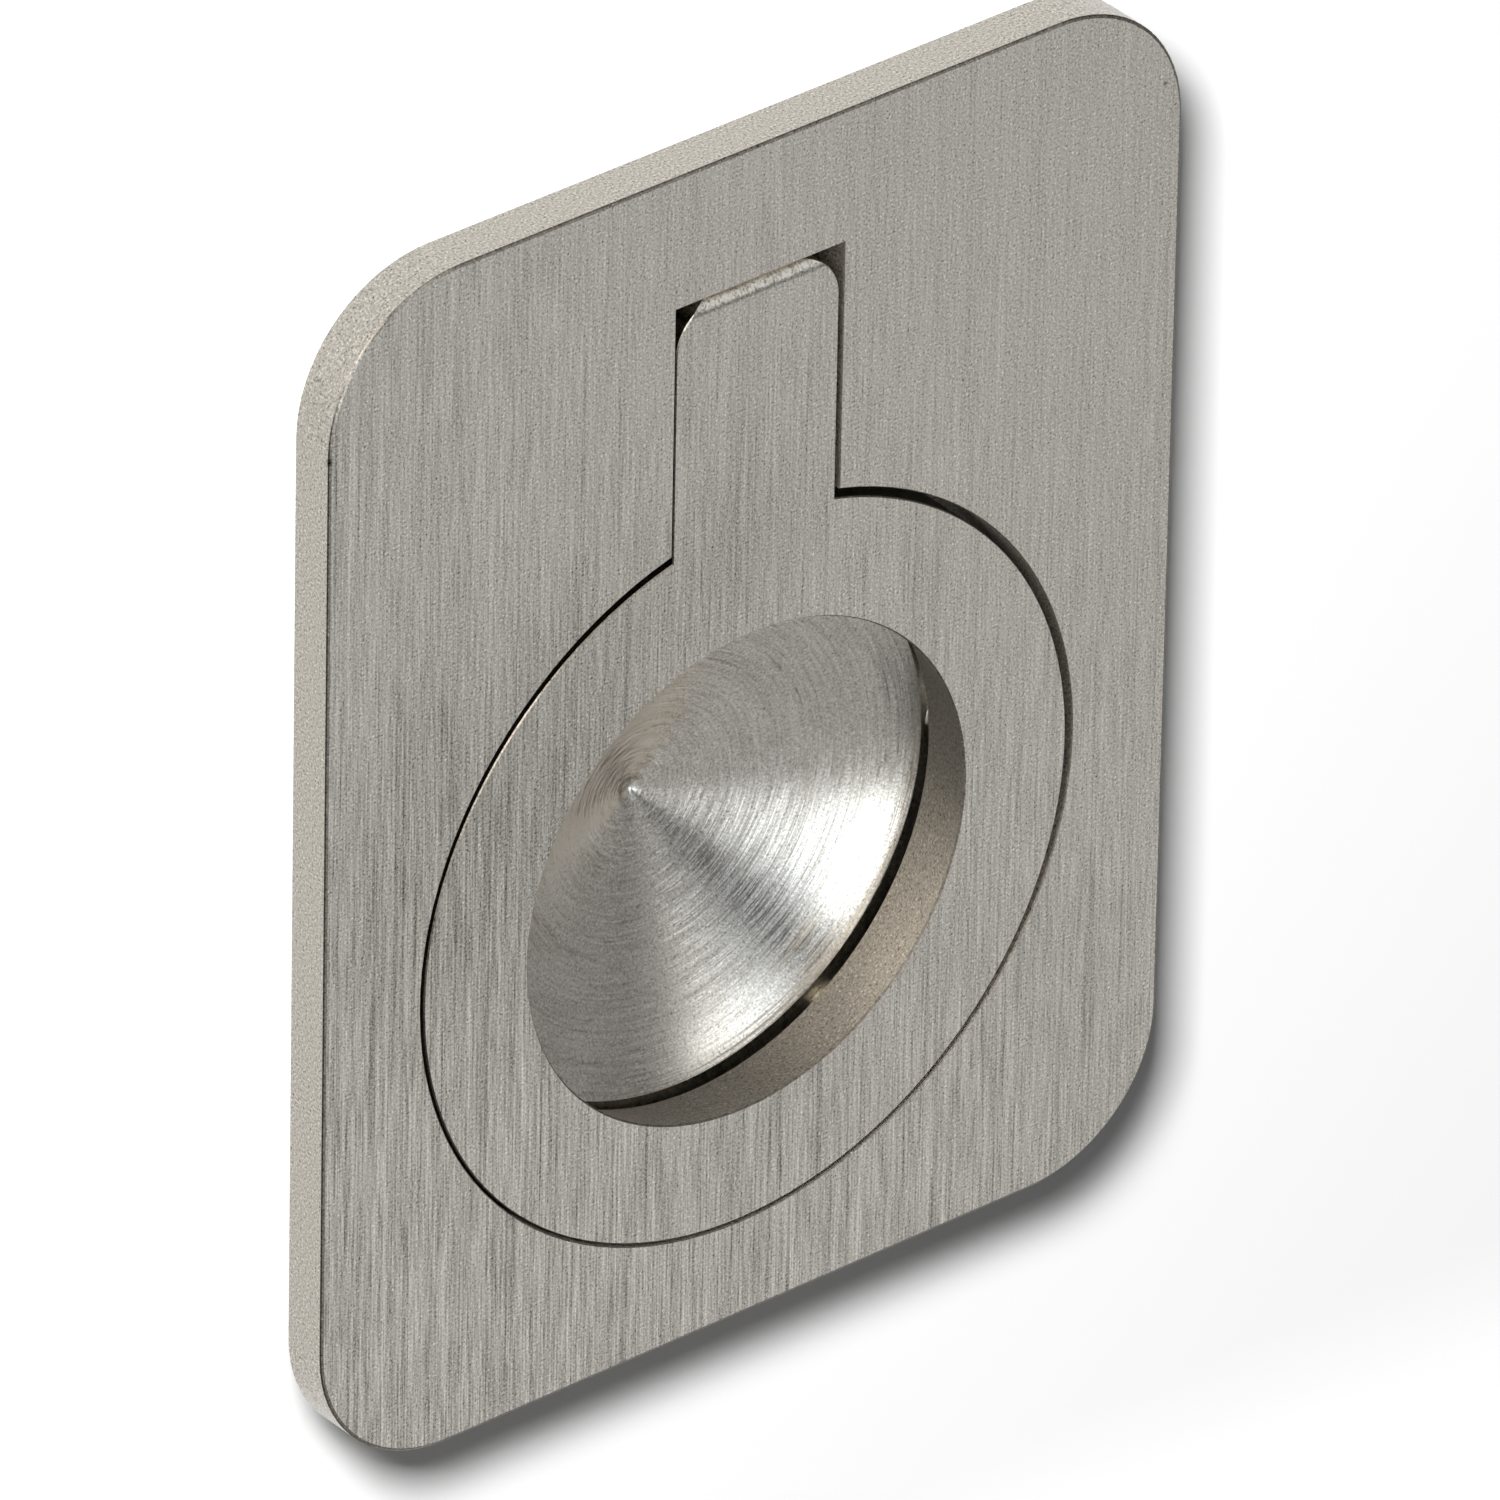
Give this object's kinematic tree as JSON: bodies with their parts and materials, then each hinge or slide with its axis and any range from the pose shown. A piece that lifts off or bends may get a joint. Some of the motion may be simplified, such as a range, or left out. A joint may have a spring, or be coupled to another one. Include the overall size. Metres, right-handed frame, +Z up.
{
  "type": "pocket door ring pull",
  "caption": "Flush ring pull for a pocket door: round-cornered plate with a keyhole opening, a hinged ring that lies flush in it, and a conical finger dish behind.",
  "frame": {"origin": "centre of the plate's back face, the face that meets the door", "axes": "+Z up the door, tab end up; +Y into the door, so the front faces -Y; +X to the right seen from the front"},
  "size_m": [0.05, 0.0101, 0.0636],
  "materials": {
    "plate_brushed": "vertical brushed satin",
    "ring_brushed": "vertical brushed satin",
    "housing_turned": "turned, fine concentric marks",
    "pin_steel": "drawn bright",
    "screw_steel": "plain bright"
  },
  "bodies": {
    "plate": {"face_plate": "plate_brushed", "hinge_pin": "pin_steel", "back_housing": "housing_turned", "housing_screws": "screw_steel"},
    "ring": {"ring_pull": "ring_brushed"}
  },
  "joints": [
    {"name": "ring_hinge", "type": "hinge", "parent": "plate", "child": "ring", "pos_m": [0, -0.001, 0.02145], "axis": [-1, 0, 0], "range_deg": [0, 95]}
  ]
}
